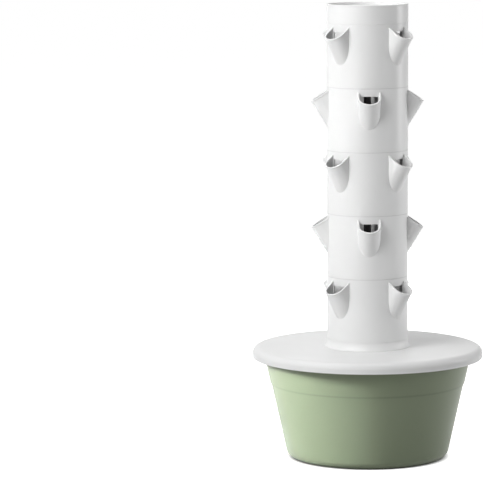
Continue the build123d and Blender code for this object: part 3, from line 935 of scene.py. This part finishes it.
@dataclass(frozen=True)
class SoftLight:
    """One soft box, aimed at the tower, that lights all pieces or only the named ones."""

    name: str
    azimuth: float
    elevation: float
    distance: float
    width: float
    power: float
    aim_level: float = 0.45
    beam: float = math.pi
    mirrored: bool = True
    only_on: tuple[str, ...] = ()

    def place(self) -> None:
        """Puts the light on its stand, facing a point on the tower's axis."""
        lamp = bpy.data.lights.new(self.name, "AREA")
        lamp.shape = "DISK"
        lamp.size = self.width
        lamp.energy = self.power
        lamp.spread = self.beam
        aim = Vector((0, 0, self.aim_level))
        away = Vector((
            math.sin(self.azimuth) * math.cos(self.elevation),
            -math.cos(self.azimuth) * math.cos(self.elevation),
            math.sin(self.elevation),
        ))
        stand = bpy.data.objects.new(self.name, lamp)
        stand.location = aim + away * self.distance
        stand.rotation_euler = away.to_track_quat("Z", "Y").to_euler()
        stand.visible_glossy = self.mirrored
        if self.only_on:
            lit = bpy.data.collections.new(f"{self.name}_pieces")
            for piece in self.only_on:
                lit.objects.link(bpy.data.objects[piece])
            stand.light_linking.receiver_collection = lit
        bpy.context.scene.collection.objects.link(stand)


@dataclass
class Studio:
    """Pale floor, white backdrop, soft light and the camera."""

    frame_pixels: float = 483.0
    focal_pixels: float = 3098.4
    sensor: float = 36.0
    distance: float = 6.10
    height: float = 1.179
    azimuth: float = math.radians(-2.40)
    swing: float = math.radians(2.345)
    pitch: float = math.radians(6.998)
    roll: float = math.radians(-0.268)
    floor_half: float = 40.0
    ambient: float = 0.06
    floor_tone: float = 0.8
    floor_bounce: float = 0.68
    floor_glow: float = 0.95
    # Painted contact shadow: between these radii round the axis the floor's glow fades to nothing,
    # darkening the floor at the tub's foot.
    contact_shadow_radius: tuple[float, float] = (0.151, 0.164)
    lights: tuple[SoftLight, ...] = field(default_factory=lambda: (
        SoftLight(
            "key_light", math.radians(-46), math.radians(28), distance=3.2, width=1.9, power=74.0,
        ),
        SoftLight(
            "window_light", math.radians(-84), math.radians(12), distance=2.8, width=0.4, power=0.215,
            aim_level=0.64, beam=math.radians(20),
        ),
        SoftLight(
            "top_light", math.radians(0), math.radians(85), distance=3.2, width=1.8, power=16.0,
        ),
        SoftLight(
            "high_light", math.radians(-90), math.radians(70), distance=3.2, width=1.8, power=24.0,
        ),
        SoftLight(
            "side_light", math.radians(60), math.radians(8), distance=3.2, width=1.5, power=8.0,
        ),
        SoftLight(
            "rebound_light", math.radians(102), math.radians(8), distance=2.4, width=0.7, power=1.32,
            aim_level=0.5, beam=math.radians(40),
        ),
        SoftLight(
            "tub_light", math.radians(-72), math.radians(27), distance=1.8, width=0.5, power=2.55,
            aim_level=0.1, beam=math.radians(30), only_on=("tub", "tub_rim"),
        ),
        SoftLight(
            "back_light", math.radians(180), math.radians(10), distance=3.2, width=2.2, power=37.4,
            mirrored=False,
        ),
    ))

    def build(self) -> None:
        """Makes the whole studio."""
        self._backdrop()
        self._floor()
        for light in self.lights:
            light.place()
        self._camera()
        bpy.context.scene.view_settings.view_transform = "Standard"

    @staticmethod
    def _seen_directly(nodes: bpy.types.Nodes, links: bpy.types.NodeLinks) -> bpy.types.NodeSocket:
        """A mask of the rays that come from the camera, or from it by way of gloss or glass."""
        path = nodes.new("ShaderNodeLightPath")
        seen = path.outputs["Is Camera Ray"]
        for label in ("Is Glossy Ray", "Is Transmission Ray"):
            either = nodes.new("ShaderNodeMath")
            either.operation = "MAXIMUM"
            links.new(seen, either.inputs[0])
            links.new(path.outputs[label], either.inputs[1])
            seen = either.outputs["Value"]
        return seen

    def _backdrop(self) -> None:
        """A world that looks white and lights softly."""
        world = bpy.data.worlds.new("backdrop")
        bpy.context.scene.world = world
        world.use_nodes = True
        nodes, links = world.node_tree.nodes, world.node_tree.links
        light = nodes["Background"]
        light.inputs["Color"].default_value = (1, 1, 1, 1)
        light.inputs["Strength"].default_value = self.ambient
        white = nodes.new("ShaderNodeBackground")
        white.inputs["Color"].default_value = (1, 1, 1, 1)
        chosen = nodes.new("ShaderNodeMixShader")
        links.new(self._seen_directly(nodes, links), chosen.inputs["Fac"])
        links.new(light.outputs["Background"], chosen.inputs[1])
        links.new(white.outputs["Background"], chosen.inputs[2])
        links.new(chosen.outputs["Shader"], nodes["World Output"].inputs["Surface"])

    def _floor(self) -> None:
        """A pale floor that keeps the tower's shadow, with a painted contact shadow round the tub's foot,
        and is clear from below.
        """
        half = self.floor_half
        mesh = bpy.data.meshes.new("floor")
        corners = [(-half, -half, 0), (half, -half, 0), (half, half, 0), (-half, half, 0)]
        mesh.from_pydata(corners, [], [(0, 1, 2, 3)])
        floor = bpy.data.objects.new("floor", mesh)
        bpy.context.scene.collection.objects.link(floor)
        paint = bpy.data.materials.new("floor_white")
        paint.use_nodes = True
        nodes, links = paint.node_tree.nodes, paint.node_tree.links
        nodes.remove(nodes["Principled BSDF"])
        seen = self._seen_directly(nodes, links)
        tone = nodes.new("ShaderNodeMix")
        tone.inputs["A"].default_value = self.floor_bounce
        tone.inputs["B"].default_value = self.floor_tone
        links.new(seen, tone.inputs["Factor"])
        matte = nodes.new("ShaderNodeBsdfDiffuse")
        links.new(tone.outputs["Result"], matte.inputs["Color"])
        glow = nodes.new("ShaderNodeEmission")
        place = nodes.new("ShaderNodeTexCoord")
        out = nodes.new("ShaderNodeVectorMath")
        out.operation = "LENGTH"
        links.new(place.outputs["Object"], out.inputs[0])
        # Painted contact shadow: the glow fades out towards the tub's foot, so the floor there shows only
        # its lit tone, which also holds the real shadow.
        clear = nodes.new("ShaderNodeMapRange")
        clear.inputs["From Min"].default_value, clear.inputs["From Max"].default_value = self.contact_shadow_radius
        clear.inputs["To Max"].default_value = self.floor_glow
        links.new(out.outputs["Value"], clear.inputs["Value"])
        lit = nodes.new("ShaderNodeMath")
        lit.operation = "MULTIPLY"
        links.new(seen, lit.inputs[0])
        links.new(clear.outputs["Result"], lit.inputs[1])
        links.new(lit.outputs["Value"], glow.inputs["Strength"])
        both = nodes.new("ShaderNodeAddShader")
        links.new(matte.outputs["BSDF"], both.inputs[0])
        links.new(glow.outputs["Emission"], both.inputs[1])
        side = nodes.new("ShaderNodeNewGeometry")
        glass = nodes.new("ShaderNodeBsdfTransparent")
        faced = nodes.new("ShaderNodeMixShader")
        links.new(side.outputs["Backfacing"], faced.inputs["Fac"])
        links.new(both.outputs["Shader"], faced.inputs[1])
        links.new(glass.outputs["BSDF"], faced.inputs[2])
        links.new(faced.outputs["Shader"], nodes["Material Output"].inputs["Surface"])
        mesh.materials.append(paint)

    def _camera(self) -> None:
        """A camera at the photograph's place, with the tower right of the middle."""
        lens = bpy.data.cameras.new("camera")
        lens.sensor_width = self.sensor
        lens.lens = self.focal_pixels * self.sensor / self.frame_pixels
        lens.clip_end = 2 * self.floor_half
        camera = bpy.data.objects.new("camera", lens)
        stand = Vector((
            self.distance * math.sin(self.azimuth),
            -self.distance * math.cos(self.azimuth),
            self.height,
        ))
        turned = (
            Matrix.Rotation(self.azimuth + self.swing, 4, "Z")
            @ Matrix.Rotation(math.pi / 2 - self.pitch, 4, "X")
            @ Matrix.Rotation(self.roll, 4, "Z")
        )
        camera.matrix_world = Matrix.Translation(stand) @ turned
        bpy.context.scene.collection.objects.link(camera)
        bpy.context.scene.camera = camera


def main() -> None:
    """Dresses the CAD nodes, builds each sub-assembly's trim and sets up the studio."""
    logging.basicConfig(level=logging.INFO, format="%(message)s")
    paints = Paints()
    paints.dress_nodes()
    trees = TrimTrees()
    for assembly in (TowerStack, Crown, TubLid, ReservoirTub, PumpSet):
        assembly(trees, paints).build()
    Studio().build()


if __name__ == "__main__":
    main()
